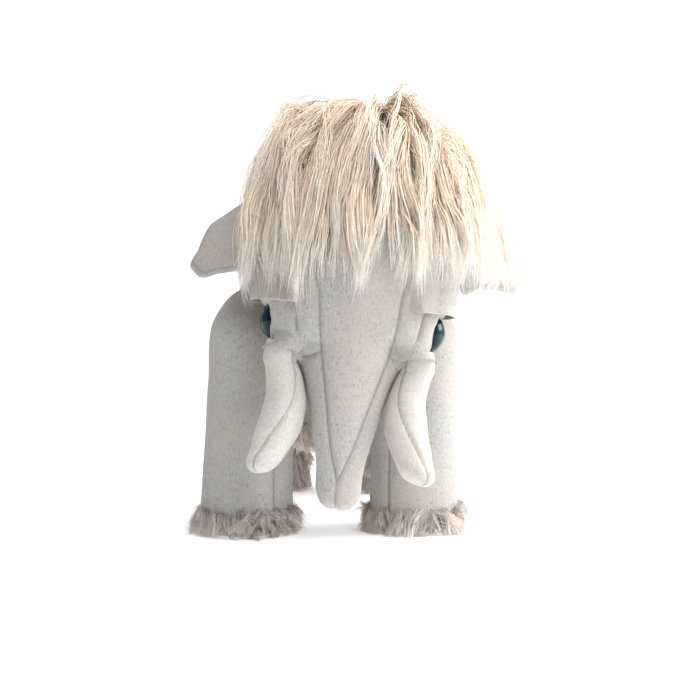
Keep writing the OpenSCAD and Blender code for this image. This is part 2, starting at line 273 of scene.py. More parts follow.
def linen(name, base, warm, cool, fleck=1.0):
    """Woven linen: upright and level threads, slubs, flecks of beige and pale blue, and painted shade along
    its seams.
    """
    n = Nodes(name, Roughness=0.92, Sheen_Weight=0.12, Sheen_Roughness=0.6, Specular_IOR_Level=0.18)
    place = n.add("ShaderNodeTexCoord").outputs["Object"]
    axis = n.add("ShaderNodeSeparateXYZ", {"Vector": place})
    facing = n.add("ShaderNodeSeparateXYZ",
                   {"Vector": n.add("ShaderNodeNewGeometry").outputs["Normal"]})
    sideways = n.band(n.math("SUBTRACT", n.math("ABSOLUTE", facing.outputs[0]),
                             n.math("ABSOLUTE", facing.outputs[1])), -0.05, 0.05)
    across = n.add("ShaderNodeMix",
                   {"Factor": sideways, 2: axis.outputs[0], 3: axis.outputs[1]}).outputs[0]
    level = n.band(n.math("ABSOLUTE", facing.outputs[2]), 0.8, 0.86)
    along = n.add("ShaderNodeMix",
                  {"Factor": level, 2: axis.outputs[2], 3: axis.outputs[1]}).outputs[0]
    cloth = n.add("ShaderNodeCombineXYZ", {0: across, 1: 0.0, 2: along}).outputs[0]
    wander = n.math("MULTIPLY", n.noise(place, 90.0), 0.0012)
    warp = n.math("SINE", n.math("MULTIPLY", n.math("ADD", across, wander), 2 * math.pi / WARP_PITCH))
    weft = n.math("SINE", n.math("MULTIPLY", n.math("ADD", along, wander), 2 * math.pi / WEFT_PITCH))
    weave = n.math("MULTIPLY_ADD", n.math("MULTIPLY", warp, weft), 0.5, 0.5)
    upright = n.vector("MULTIPLY", cloth, (1.0, 1.0, 0.26))
    crosswise = n.vector("MULTIPLY", cloth, (0.14, 1.0, 1.0))
    slub = n.noise(upright, 1300.0, 4.0)
    cross_slub = n.noise(crosswise, 1100.0, 3.0)
    shifted = n.vector("ADD", upright, (0.3, 0.2, 0.1))
    patches = n.math("MULTIPLY_ADD", n.band(n.noise(place, 130.0, 2.0), 0.35, 0.65), 0.7, 0.3)
    blue = n.math("MULTIPLY", n.band(n.noise(upright, 1000.0, 4.0), 0.54, 0.64), patches)
    beige = n.band(n.noise(shifted, 800.0, 4.0), 0.54, 0.66)
    cloudy = n.noise(place, 16.0, 2.0)
    colour = n.mix(n.band(slub, 0.3, 0.72), [c * 0.8 for c in base], [min(1, c * 1.1) for c in base])
    colour = n.mix(n.math("MULTIPLY", beige, 0.5 * fleck), colour, warm)
    colour = n.mix(n.math("MULTIPLY", blue, 0.8 * fleck), colour, cool)
    colour = n.mix(n.math("MULTIPLY", n.band(cross_slub, 0.5, 0.66), 0.4), colour,
                   [min(1, c * 1.25) for c in base])
    colour = n.mix(n.math("MULTIPLY", weave, 0.5), colour, [c * 0.62 for c in base])
    colour = n.mix(n.math("MULTIPLY", n.band(cloudy, 0.42, 0.66), 0.24), colour, warm)
    # Painted shade: the colour is darkened broadly near each seam and in a dark line along it, for the
    # shade in the pressed-in seam grooves.
    seam = n.add("ShaderNodeAttribute", attribute_name="seam").outputs["Fac"]
    crease_shade = n.math("SUBTRACT", 1.0, n.band(seam, 0.0, 5.0))
    stitch = n.math("SUBTRACT", 1.0, n.band(seam, 0.35, 1.15))
    colour = n.mix(n.math("MULTIPLY", crease_shade, 0.14), colour, [c * 0.5 for c in base])
    colour = n.mix(n.math("MULTIPLY", stitch, 0.52), colour, [c * 0.34 for c in base])
    n.link(colour, "Base Color")
    height = n.math("ADD", n.math("MULTIPLY", weave, 0.55), n.math("MULTIPLY", slub, 0.6))
    bump = n.add("ShaderNodeBump", {"Strength": 0.55, "Distance": 0.0005, "Height": height})
    n.link(bump.outputs[0], "Normal")
    return n.material


def fur(name, root, middle, tip, roughness=0.62):
    """Fur: each strand darker and warmer at its root, the dark there painted shade deep in the pile, with
    its own tint.
    """
    n = Nodes(name, Roughness=roughness, Sheen_Weight=0.25, Sheen_Roughness=0.4, Specular_IOR_Level=0.3)
    along = n.add("ShaderNodeAttribute", attribute_name="along").outputs["Fac"]
    tint = n.add("ShaderNodeAttribute", attribute_name="tint").outputs["Fac"]
    # Painted shade: the dark root colour stands in for the shade deep in the pile.
    colour = n.mix(n.band(along, 0.0, 0.4), root, middle)
    colour = n.mix(n.band(along, 0.35, 1.0), colour, tip)
    shade = n.mix(tint, [c * 0.55 for c in middle], [min(1.0, c * 1.3) for c in tip])
    colour = n.mix(0.42, colour, shade)
    n.link(colour, "Base Color")
    return n.material


def glossy_eye():
    """A moulded eye: black pupil, teal iris with fine rays and a dark rim, under a clear coat."""
    n = Nodes("eye_gloss", Roughness=0.1, Coat_Weight=0.1, Coat_Roughness=0.03, Specular_IOR_Level=0.12)
    radial = n.add("ShaderNodeAttribute", attribute_name="radial").outputs["Fac"]
    angle = n.add("ShaderNodeAttribute", attribute_name="angle").outputs["Fac"]
    rays = n.math("MULTIPLY_ADD", n.math("SINE", n.math("MULTIPLY", angle, 46.0)), 0.5, 0.5)
    iris = n.mix(n.math("MULTIPLY", rays, 0.5), (0.002, 0.022, 0.026), (0.008, 0.07, 0.075))
    colour = n.mix(n.band(radial, 0.36, 0.46), (0.003, 0.004, 0.005), iris)
    colour = n.mix(n.band(radial, 0.66, 0.86), colour, (0.004, 0.012, 0.016))
    n.link(colour, "Base Color")
    return n.material


def plain_felt(name, colour):
    """A material for pieces that are mostly out of sight, with soft mottling."""
    n = Nodes(name, Roughness=0.85)
    place = n.add("ShaderNodeTexCoord").outputs["Object"]
    n.link(n.mix(n.noise(place, 300.0), [c * 0.85 for c in colour], colour), "Base Color")
    return n.material


BODY_LINEN = linen("body_linen", (0.42, 0.415, 0.395), (0.52, 0.39, 0.32), (0.12, 0.185, 0.24))
TUSK_LINEN = linen("tusk_linen", (0.54, 0.525, 0.49), (0.56, 0.46, 0.40), (0.30, 0.35, 0.39), 0.6)
MOP_FUR = fur("mop_fur", (0.50, 0.29, 0.15), (0.93, 0.73, 0.53), (1.0, 0.95, 0.88))
TRIM_FUR = fur("trim_fur", (0.2, 0.125, 0.095), (0.72, 0.58, 0.49), (1.0, 0.93, 0.87))
EYE_GLOSS = glossy_eye()


def finish_piece(obj, body, material, nodes=()):
    obj.data.materials.clear()
    obj.data.materials.append(material)
    if body:
        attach(obj, body)
    if nodes:
        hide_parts(*nodes)
    return obj


# ---------------------------------------------------------------- the sewn skin

def leg_names(leg):
    return [f"{leg}_{part}" for part in ("stuffing", "outer", "inner", "sole")]


TORSO_NODES = ["torso_stuffing", "torso_side_left", "torso_side_right"]
HEAD_NODES = ["head_stuffing", "head_side_left", "head_side_right", "face_strip"]
TRUNK_NODES = ["trunk_stuffing", "trunk_side_left", "trunk_side_right", "trunk_front"]


def seam_profile(points, z):
    """The offset from the middle of a seam at height z, from a few (z, offset) points."""
    zs, offsets = zip(*sorted(points))
    return np.interp(z, np.array(zs) * MM, np.array(offsets) * MM)


STRIP = [(330, 35), (205, 35), (181, 29.5), (160, 27.5), (139, 24.9), (105, 16.4), (75, 9),
         (63, 5), (50, 0)]
SIDE_SEAM = [(320, 62), (230, 66), (195, 55.5), (170, 46.5), (151, 43), (137, 38)]


def head_seams(co, no):
    """How far each point of the head's skin is from its nearest sewn seam, in metres."""
    local = rows_to_head(co)
    y, z = local[:, 1], local[:, 2]
    x = local[:, 0] - np.interp(z, [50 * MM, 140 * MM], [-1.5 * MM, FACE_X])
    front = no[:, 1] < 0.3
    strip = np.abs(np.abs(x) - seam_profile(STRIP, z))
    strip = np.where(z > 50 * MM, strip, np.abs(x))
    slope = np.where(z < 145 * MM, 0.95, 1.0)
    far = np.where(front, strip * slope, FAR)
    side = np.abs(np.abs(x) - seam_profile(SIDE_SEAM, z))
    far = np.where(front & (z > 136 * MM), np.minimum(far, side), far)
    dart_t = (np.abs(x) - 24.5 * MM) / (14 * MM)
    dart = np.abs(z - (139 * MM - dart_t * 6 * MM))
    on_dart = front & (dart_t > 0) & (dart_t < 1) & (y < -190 * MM)
    far = np.where(on_dart, np.minimum(far, dart), far)
    back_of_trunk = (no[:, 1] > 0.2) & (z < 140 * MM)
    middle = back_of_trunk | (z > 250 * MM)
    return np.where(middle, np.minimum(far, np.abs(x)), far)


def body_seams(co, no):
    """How far each point of the body's skin is from its nearest sewn seam, in metres."""
    spine = (no[:, 2] > -0.3) & (co[:, 2] > 130 * MM)
    far = np.where(spine, np.abs(co[:, 0] - BODY_X), FAR)
    flank = np.abs(co[:, 2] - (92 * MM - 22 * MM * np.cos((co[:, 1] - 20 * MM) / (90 * MM))))
    low = np.abs(co[:, 0] - BODY_X) < 90 * MM
    for leg in LEGS:
        hip = joint_at(leg + "_flex")
        rx, ry = co[:, 0] - hip.x, co[:, 1] - hip.y
        near = (np.hypot(rx, ry) < 46 * MM) & (co[:, 2] < hip.z - 12 * MM)
        low &= ~near
        inward = -math.copysign(1, hip.x - BODY_X)
        dx = inward * math.sin(LEG_SEAM_TURN)
        for dy in (-math.cos(LEG_SEAM_TURN), math.cos(LEG_SEAM_TURN)):
            ahead = near & (rx * dx + ry * dy > 0)
            far = np.where(ahead, np.minimum(far, np.abs(rx * dy - ry * dx)), far)
    between_legs = low & (co[:, 1] > -60 * MM) & (co[:, 1] < 130 * MM)
    return np.where(between_legs, np.minimum(far, flank), far)


def in_leg_zone(co, leg):
    """Which points belong to a leg: those in its round top, and all round it below."""
    reach = LEG_R + 5 * MM
    foot_reach = FOOT_R + 5 * MM + SPLAY
    hip = np.array(joint_at(leg + "_flex"))
    ball = np.linalg.norm(co - hip, axis=1) < reach
    around = np.hypot(co[:, 0] - hip[0], co[:, 1] - hip[1])
    column = (around < foot_reach) & (co[:, 2] < hip[2] - 25 * MM)
    return ball | (around < reach) & (co[:, 2] < hip[2]) | column


def add_ball(obj, place, sizes):
    """Joins an egg of the half sizes given to a mesh, so that the remesh takes it in."""
    mesh = bmesh.new()
    mesh.from_mesh(obj.data)
    size = Matrix.Diagonal((*[v * MM for v in sizes], 1))
    bmesh.ops.create_icosphere(mesh, subdivisions=4, radius=1.0, matrix=place @ size)
    mesh.to_mesh(obj.data)
    mesh.free()


def blunt_trunk(co):
    """Widens the trunk's end, so that it is blunt."""
    local = rows_to_head(co)
    near_tip = smooth_step((62 * MM - local[:, 2]) / (26 * MM))
    blunt = (np.abs(local[:, 0]) < 40 * MM) * near_tip
    return co + np.outer(blunt * 0.14 * local[:, 0], HEAD_X)


def splay_foot(co):
    """Moves the front right foot out from under its hip."""
    foot = in_leg_zone(co, "front_right") * smooth_step((140 * MM - co[:, 2]) / (120 * MM))
    return co - np.outer(foot * SPLAY, (1, 0, 0))


def stuffed(skin, shape, seams):
    """Turns joined CAD shapes into one closed, soft skin with its seams pressed in."""
    apply_modifier(skin, "REMESH", mode="VOXEL", voxel_size=SKIN_VOXEL)
    apply_modifier(skin, "SMOOTH", factor=0.6, iterations=14)
    co, no = vertices(skin), normals(skin)
    lumps = noise3(co, 60 * MM, 3) * 0.7 * MM + noise3(co, 26 * MM, 5) * 0.25 * MM
    co = co + no * (1.4 * MM + lumps)[:, None]
    co[:, 2] = np.maximum(co[:, 2], 1 * MM)
    set_vertices(skin, shape(co))
    apply_modifier(skin, "SUBSURF", levels=1, render_levels=1)
    co, no = vertices(skin), normals(skin)
    seam = seams(co, no)
    groove = np.exp(-(seam / (1.5 * MM)) ** 2)
    pillow = np.exp(-(seam / (7 * MM)) ** 2)
    set_vertices(skin, co - no * (groove * 1.3 * MM + pillow * 0.8 * MM)[:, None])
    attribute(skin, "seam", np.minimum(seam / MM, NO_SEAM))
    skin.data.shade_smooth()
    return skin


def make_body():
    """The torso and legs, with a round shoulder over each front leg."""
    nodes = TORSO_NODES + [node for leg in LEGS for node in leg_names(leg)]
    skin = joined_nodes("body_form", nodes)
    for leg in ("front_left", "front_right"):
        hip = joint_at(leg + "_flex")
        inward = math.copysign(4 * MM, BODY_X - hip.x)
        shoulder = hip + Vector((inward, 6 * MM, 9 * MM))
        add_ball(skin, Matrix.Translation(shoulder), (32, 32, 32))
    return stuffed(skin, splay_foot, body_seams)


def make_head():
    """The head and trunk, with stuffing that bridges the root of the trunk."""
    skin = joined_nodes("head_form", HEAD_NODES + TRUNK_NODES)
    turn = Matrix((HEAD_X, (0, 1, 0), HEAD_UP)).transposed().to_4x4()
    for z, half_w, half_d in ((140, 36, 26.5), (126, 33, 26)):
        at = Matrix.Translation(head_to_row((0, -186.5 * MM, z * MM))) @ turn
        add_ball(skin, at, (half_w, half_d, 15))
    return stuffed(skin, blunt_trunk, head_seams)


def cut_piece(skin, name, keep_vertex):
    """A new object of the skin's faces whose first point is in the mask, with the skin's own normals."""
    mesh = skin.data
    co, no = vertices(skin), normals(skin)
    count = len(mesh.polygons)
    starts = np.empty(count, int)
    totals = np.empty(count, int)
    mesh.polygons.foreach_get("loop_start", starts)
    mesh.polygons.foreach_get("loop_total", totals)
    loops = np.empty(len(mesh.loops), int)
    mesh.loops.foreach_get("vertex_index", loops)
    keep_face = keep_vertex[loops[starts]]
    chosen = np.nonzero(keep_face)[0]
    faces = [loops[starts[i]:starts[i] + totals[i]] for i in chosen]
    used = np.unique(np.concatenate(faces))
    index = np.full(len(co), -1)
    index[used] = np.arange(len(used))
    piece = new_object(name, co[used], [index[f].tolist() for f in faces])
    seam = np.empty(len(co), np.float32)
    mesh.attributes["seam"].data.foreach_get("value", seam)
    attribute(piece, "seam", seam[used])
    piece.data.normals_split_custom_set_from_vertices([tuple(v) for v in no[used]])
    return piece


LEG_TOP = {"front": 18 * MM, "hind": 14 * MM}
LINING_DEPTH = 45 * MM


def line_leg(skin, leg, top, zone):
    """A lining under the top of a leg, on the torso, so that no gap shows as the leg bends."""
    lining = cut_piece(skin, leg + "_lining", zone & (vertices(skin)[:, 2] > top - LINING_DEPTH))
    co = vertices(lining)
    inset = 1.2 * MM + (top - co[:, 2]) * 0.12
    set_vertices(lining, co - normals(lining) * inset[:, None])
    finish_piece(lining, "torso", BODY_LINEN)


def cut_body(skin):
    """The torso, and the legs that bend where they leave it."""
    co = vertices(skin)
    rest = np.ones(len(co), bool)
    for leg in LEGS:
        hip = joint_at(leg + "_flex")
        top = hip.z - LEG_TOP[leg.split("_")[0]]
        zone = in_leg_zone(co, leg) & (co[:, 2] < top)
        rest &= ~zone
        piece = cut_piece(skin, leg + "_skin", zone)
        finish_piece(piece, None, BODY_LINEN, leg_names(leg))
        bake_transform(piece)
        line_leg(skin, leg, top, zone)
    torso = cut_piece(skin, "torso_skin", rest)
    finish_piece(torso, "torso", BODY_LINEN, TORSO_NODES)


TRUNK_TOP = 138 * MM


def cut_head(skin):
    """The head, which turns on the round of the neck, and the trunk, which bends under it."""
    local = rows_to_head(vertices(skin))
    trunk = (local[:, 2] < TRUNK_TOP) & (np.abs(local[:, 0]) < 39 * MM)
    face = cut_piece(skin, "head_skin", ~trunk)
    finish_piece(face, "head", BODY_LINEN, HEAD_NODES)
    nose = cut_piece(skin, "trunk_skin", trunk)
    finish_piece(nose, None, BODY_LINEN, TRUNK_NODES)
    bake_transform(nose)
    return face


# ---------------------------------------------------------------- tusks

TUSK_R = 15.4 * MM
TUSK_FLAT = 0.92
TUSK_TILT = math.radians(28)
TUSK_DROP = 77 * MM
TUSK_RISE = 30 * MM
TUSK_START = -0.5  # the sewn-in root's own share of the length, inside the head
TUSK_END = 0.86  # where the round tip starts
ROOT_FORWARD = 6 * MM
ROOT_SHARE, TIP_SHARE = 0.78, 0.80
# (share of the length, share of the radius)
TUSK_PROFILE = [(0.0, ROOT_SHARE), (0.08, 0.80), (0.2, 0.86), (0.38, 0.97), (0.55, 1.0), (0.72, 0.94),
                (TUSK_END, TIP_SHARE)]
TUSK_SEAM = (2.6, 0.9)  # the seam's angle round the tusk at the root and the tip
TUSK_SEAM_APART = 3.0


def tusk_line(root, sign, f):
    """The middle of a tusk at a share of its length, 0 where it leaves the cheek."""
    g = max(f, 0.0)
    bow = 8 * MM * g ** 2.5 - 7 * MM * math.sin(math.pi * min(g, 1) ** 0.8)
    drop = (TUSK_DROP if f > 0 else TUSK_RISE) * f
    forward = 33 * MM * g ** 1.4 + ROOT_FORWARD * float(1 - smooth_step(g / 0.5))
    return root - HEAD_UP * drop + HEAD_X * (sign * bow) + AHEAD * forward


def tusk_share(f):
    """A tusk's thickness at a share of its length, with a round root and a round tip."""
    if f < 0:
        return ROOT_SHARE * math.sqrt(max(0.05, 1 - f * f))
    if f > TUSK_END:
        return TIP_SHARE * math.sqrt(max(0.0, 1 - ((f - TUSK_END) / (1 - TUSK_END)) ** 2))
    return float(np.interp(f, *zip(*TUSK_PROFILE)))


def make_tusk(side, sign):
    """A stuffed tusk of two panels, with the seam pressed in along its length."""
    rings, spokes = 84, 64
    root = joint_at(f"tusk_{side}_flex")
    points, seam_mask = [], []
    for i in range(rings + 1):
        f = TUSK_START + (1 - TUSK_START) * (i / rings)
        centre = tusk_line(root, sign, f)
        tilt = TUSK_TILT * max(f, 0)
        back = Vector((0, math.cos(tilt), 0)) - HEAD_UP * math.sin(tilt)
        seam = float(np.interp(f, (0, 1), TUSK_SEAM))
        full = TUSK_R * tusk_share(f)
        for k in range(spokes):
            a = 2 * math.pi * k / spokes
            gap = min(abs(wrapped(a - s)) for s in (seam, seam + TUSK_SEAM_APART)) * full
            groove = math.exp(-(gap / (1.3 * MM)) ** 2) * 1.2 * MM
            pillow = math.exp(-(gap / (6 * MM)) ** 2) * 0.7 * MM
            r = max(full - (groove + pillow) * min(1.0, full / (6 * MM)), 0.05 * MM)
            points.append(centre + HEAD_X * (sign * math.cos(a) * r) - back * (math.sin(a) * r * TUSK_FLAT))
            seam_mask.append(gap / MM)
    tusk = new_object(f"tusk_{side}_skin", points, tube_faces(rings, spokes))
    attribute(tusk, "seam", seam_mask)
    fix_normals(tusk)
    co, no = vertices(tusk), normals(tusk)
    set_vertices(tusk, co + no * (noise3(co, 24 * MM, 11) * 0.5 * MM)[:, None])
    nodes = [f"tusk_{side}_{part}" for part in ("stuffing", "outer", "inner")]
    finish_piece(tusk, f"tusk_{side}", TUSK_LINEN, nodes)


# ---------------------------------------------------------------- ears

# in mm, outwards and upwards from the root
EAR_EDGE = [(-8, -3), (13, -5), (31, -7.5), (46.5, -11), (55, -7.5), (60, -2), (58, 3), (53, 10),
            (49, 20), (43, 31), (31, 39), (17, 47), (6, 52), (-8, 55)]
EAR_DROOP = {"left": math.radians(-7), "right": math.radians(4)}
EAR_CENTRE = np.array([26 * MM, 24 * MM])
EAR_REACH = 60 * MM
EAR_STITCH = 3.2 * MM  # the seam's distance from the edge


def smooth_loop(points, per):
    """A closed Catmull-Rom curve through a few points."""
    pts = np.array(points, float)
    count = len(pts)
    out = []
    for i in range(count):
        p0, p1, p2, p3 = (pts[(i + k) % count] for k in (-1, 0, 1, 2))
        for s in range(per):
            t = s / per
            out.append(0.5 * ((2 * p1) + (p2 - p0) * t + (2 * p0 - 5 * p1 + 4 * p2 - p3) * t * t
                              + (3 * p1 - p0 - 3 * p2 + p3) * t ** 3))
    return np.array(out)


def make_ear(side, sign):
    """A flat ear of two layers, puffed a little between its edge and its seam, and cupped forward."""
    hinge = JOINTS[f"ear_{side}_flap"]
    root, up = Vector(hinge["pos_m"]), Vector(hinge["axis"]).normalized()
    low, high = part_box(f"ear_{side}_front")
    middle = (low + high) / 2
    out = (middle - root) - up * (middle - root).dot(up)
    out.normalize()
    back = up.cross(out) * sign
    droop = EAR_DROOP[side]
    edge = smooth_loop(EAR_EDGE, 12) * MM
    span = np.linalg.norm((edge - EAR_CENTRE).max(0)) * 0.55
    shares = [1 - r / 16 for r in range(16)]
    # the rings run out to the edge on one face, and back in on the other
    grid = [(s, 1) for s in shares[::-1]] + [(s, -1) for s in shares[1:]]
    points, seam_mask = [], []
    for share, face_sign in grid:
        inset = (1 - share) * span
        puff = 2.4 * MM * (1 - math.exp(-inset / (5 * MM))) + 0.5 * MM
        stitch = math.exp(-((inset - EAR_STITCH) / (0.9 * MM)) ** 2)
        thick = max(puff - 0.7 * MM * stitch, 0.1 * MM) if share < 1 else 0.0
        for u, v in EAR_CENTRE + (edge - EAR_CENTRE) * share:
            cup = 5 * MM * (u / EAR_REACH) ** 2 + 2.2 * MM * math.sin(v / (16 * MM)) * max(u, 0) / EAR_REACH
            turned_u = u * math.cos(droop) + v * math.sin(droop)
            turned_v = v * math.cos(droop) - u * math.sin(droop)
            points.append(root + out * turned_u + up * turned_v - back * (cup + face_sign * thick))
            seam_mask.append(max(abs(inset - EAR_STITCH) / MM, 0.55))
    ear = new_object(f"ear_{side}_skin", points, tube_faces(len(grid) - 1, len(edge)))
    attribute(ear, "seam", seam_mask)
    fix_normals(ear)
    finish_piece(ear, None, BODY_LINEN, [f"ear_{side}_front", f"ear_{side}_back"])
    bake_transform(ear)
    return ear


# ---------------------------------------------------------------- eyes, brows and cheeks

EYE_AT = (57.5 * MM, -176 * MM, 159 * MM)
EYE_TURN = math.radians(14)
EYE_R = 13.5 * MM
EYE_DOME = 10 * MM


def make_eye(side, sign):
    """A safety eye's dome, with a short rim behind it; its rings and rays are held as attributes."""
    centre = head_to_row((sign * EYE_AT[0], EYE_AT[1], EYE_AT[2]))
    axis = (HEAD_X * (sign * math.cos(EYE_TURN)) + Vector((0, -math.sin(EYE_TURN), 0))).normalized()
    level = HEAD_UP.cross(axis).normalized()
    upright = axis.cross(level).normalized()
    rings, spokes = 28, 96
    turns = [math.pi / 2 * i / rings for i in range(rings + 1)]
    profile = [(max(EYE_R * math.sin(t), 0.02 * MM), EYE_DOME * math.cos(t)) for t in turns]
    profile.append((EYE_R, -2 * MM))
    points, radial, angles = [], [], []
    for r, h in profile:
        for k in range(spokes):
            a = 2 * math.pi * k / spokes
            points.append(centre + axis * h + level * (r * math.cos(a)) + upright * (r * math.sin(a)))
            radial.append(r / EYE_R)
            angles.append(a)
    eye = new_object(f"eye_{side}_dome", points, tube_faces(rings + 1, spokes))
    attribute(eye, "radial", radial)
    attribute(eye, "angle", angles)
    fix_normals(eye)
    finish_piece(eye, "head", EYE_GLOSS, [f"eye_{side}"])


FACE_BACK = -168 * MM  # in the head's own frame, where the flaps' rays start
FOLD_THICK = 1.8 * MM
SUNK = 1.5 * MM  # how far a flap's sewn edge lies in the skin
BROW_LIFT = 7.5 * MM
# along the flap: the angle round the head, and the heights of its top and bottom
BROW = {"angles": [44, 110], "s": [0, 0.3, 0.6, 1], "top": [200, 204, 206, 206],
        "bottom": [172, 172.5, 172, 170]}


def make_brow(side, sign, tree):
    """A folded patch of linen lying on the head, lifted along its free lower edge."""
    columns, rows, soften = 56, 18, 10
    reach = np.empty((columns + 1, rows + 1))
    rays = {}
    for i in range(columns + 1):
        s = i / columns
        angle = math.radians(np.interp(s, [0, 1], BROW["angles"]))
        ray = (HEAD_X * (sign * math.sin(angle)) + Vector((0, -math.cos(angle), 0))).normalized()
        top = np.interp(s, BROW["s"], BROW["top"]) * MM
        bottom = np.interp(s, BROW["s"], BROW["bottom"]) * MM
        for j in range(rows + 1):
            origin = head_to_row((0, FACE_BACK, top + (bottom - top) * j / rows))
            hit = tree.ray_cast(origin + ray * 0.2, -ray)[0]
            reach[i, j] = (hit - origin).dot(ray) if hit else np.nan
            rays[i, j] = (origin, ray)
    reach = np.where(np.isnan(reach), np.nanmedian(reach), reach)
    for _ in range(soften):
        wide = np.pad(reach, 1, mode="edge")
        reach = (wide[:-2, 1:-1] + wide[2:, 1:-1] + wide[1:-1, :-2] + wide[1:-1, 2:] + 4 * reach) / 8
    points, inner = [], []
    for (i, j), (origin, ray) in rays.items():
        ends = smooth_step(11 * min(i / columns, 1 - i / columns))
        rise = (BROW_LIFT + SUNK) * (j / rows) ** 1.5 * ends - SUNK
        points.append(origin + ray * (reach[i, j] + rise))
        inner.append(origin + ray * (reach[i, j] + rise - FOLD_THICK))
    close_flap(f"brow_{side}_fold", points, inner, columns, rows, [f"brow_{side}"])


def close_flap(name, points, inner, columns, rows, nodes):
    """A thin closed patch from its outer and inner grids; the inner side gets a low seam value, so the
    linen paints shadow on the flap's underside.
    """
    total = len(points)
    across = rows + 1
    faces = []
    for i in range(columns):
        for j in range(rows):
            a = i * across + j
            faces.append((a, a + across, a + across + 1, a + 1))
            faces.append((total + a, total + a + 1, total + a + across + 1, total + a + across))
    rim = ([i * across for i in range(columns + 1)]
           + [columns * across + j for j in range(1, rows + 1)]
           + [i * across + rows for i in range(columns - 1, -1, -1)]
           + [j for j in range(rows - 1, 0, -1)])
    for k, a in enumerate(rim):
        b = rim[(k + 1) % len(rim)]
        faces.append((a, b, total + b, total + a))
    flap = new_object(name, points + inner, faces)
    # Painted shadow: the inner side's seam value of 0.2 darkens the underside like the shadow gap beneath
    # the flap.
    attribute(flap, "seam", [NO_SEAM] * total + [0.2] * total)
    fix_normals(flap)
    apply_modifier(flap, "SUBSURF", levels=1, render_levels=1)
    flap.data.shade_smooth()
    finish_piece(flap, "head", BODY_LINEN, nodes)


HOOD_RADIUS = 14.2 * MM


def make_hood(side, sign, tree):
    """The cheek's patch: it lies on the head above and stands round the root of the tusk below."""
    columns, rows = 56, 16
    root = joint_at(f"tusk_{side}_flex")
    points, inner = [], []
    for i in range(columns + 1):
        s = i / columns
        round_tusk = math.radians(-35 + 205 * s)
        round_head = math.radians(106 - 66 * s)
        ray = (HEAD_X * (sign * math.sin(round_head)) + AHEAD * math.cos(round_head)).normalized()
        origin = head_to_row((0, FACE_BACK, (147 + 9 * s) * MM))
        hit = tree.ray_cast(origin + ray * 0.2, -ray)[0]
        top = (hit or origin + ray * 56 * MM) - ray * SUNK
        around = HEAD_X * (sign * math.cos(round_tusk)) + AHEAD * math.sin(round_tusk)
        ring = root + HEAD_UP * ((6 + 4 * math.sin(math.pi * s)) * MM) + AHEAD * ROOT_FORWARD
        bottom = ring + around * HOOD_RADIUS
        for j in range(rows + 1):
            t = j / rows
            bulge = 1.5 * MM * math.sin(math.pi * t)
            points.append(top.lerp(bottom, t) + around * bulge)
            inner.append(top.lerp(bottom, t) + around * (bulge - FOLD_THICK))
    close_flap(f"cheek_{side}_fold", points, inner, columns, rows, [f"cheek_{side}"])


# ---------------------------------------------------------------- fur

def strand_mesh(name, paths, widths, tints):
    """Many tapered three-sided strands as one mesh. paths is (strands, steps, 3)."""
    count, steps, _ = paths.shape
    tangent = unit_rows(np.gradient(paths, axis=1))
    rng = np.random.default_rng(count)
    helper = rng.normal(size=(count, 1, 3))
    side = unit_rows(np.cross(tangent, helper))
    other = np.cross(tangent, side)
    t = np.linspace(0, 1, steps)
    taper = (1 - t ** 2.2) * 0.92 + 0.08
    taper[0] *= 0.8
    radius = widths[:, None] * taper[None, :]
    rings = []
    for k in range(3):
        a = 2 * math.pi * k / 3
        rings.append(paths + (side * math.cos(a) + other * math.sin(a)) * radius[:, :, None])
    points = np.stack(rings, axis=2).reshape(-1, 3)
    base = (np.arange(count)[:, None] * steps + np.arange(steps - 1)[None, :]) * 3
    base = base.reshape(-1)
    quads = []
    for k in range(3):
        n = (k + 1) % 3
        quads.append(np.stack([base + k, base + n, base + 3 + n, base + 3 + k], axis=1))
    quads = np.concatenate(quads)
    start = np.arange(count) * steps * 3
    end = start + (steps - 1) * 3
    caps = np.concatenate([np.stack([start + 2, start + 1, start], 1),
                           np.stack([end, end + 1, end + 2], 1)])
    mesh = bpy.data.meshes.new(name)
    mesh.vertices.add(len(points))
    mesh.vertices.foreach_set("co", points.ravel())
    loops = np.concatenate([quads.ravel(), caps.ravel()])
    mesh.loops.add(len(loops))
    mesh.loops.foreach_set("vertex_index", loops)
    mesh.polygons.add(len(quads) + len(caps))
    starts = np.concatenate([np.arange(len(quads)) * 4, len(quads) * 4 + np.arange(len(caps)) * 3])
    mesh.polygons.foreach_set("loop_start", starts)
    mesh.update(calc_edges=True)
    mesh.shade_smooth()
    obj = link_mesh(name, mesh)
    attribute(obj, "along", np.tile(np.repeat(t, 3), count))
    attribute(obj, "tint", np.repeat(tints, steps * 3))
    return obj


def hug(tree, points, low, high=FAR):
    """Moves points nearer to the surface than low, or farther from it than high, to that height."""
    out = points.copy()
    highest = np.broadcast_to(high, len(points))
    for i, p in enumerate(points):
        hit, normal, _, _ = tree.find_nearest(Vector(p))
        side = (Vector(p) - hit).dot(normal)
        out[i] = p + np.array(normal) * (min(max(side, low[i]), highest[i]) - side)
    return out


def grow_guides(tree, roots, directions, lengths, steps, droop, flow, clearance):
    """Guide strands that start along directions, bend to flow and gravity, and rest on the skin."""
    paths = np.empty((len(roots), steps, 3))
    paths[:, 0] = roots
    heading = directions.copy()
    step = lengths / (steps - 1)
    for i in range(1, steps):
        share = i / (steps - 1)
        pull = flow + np.array([0, 0, -1]) * droop[:, None]
        heading = heading * 0.62 + pull * (0.38 + 0.2 * share)
        here = paths[:, i - 1] + unit_rows(heading) * step[:, None]
        here = hug(tree, here, clearance * min(1, 0.25 + share * 1.6))
        heading = unit_rows(here - paths[:, i - 1])
        paths[:, i] = paths[:, i - 1] + heading * step[:, None]
    return paths


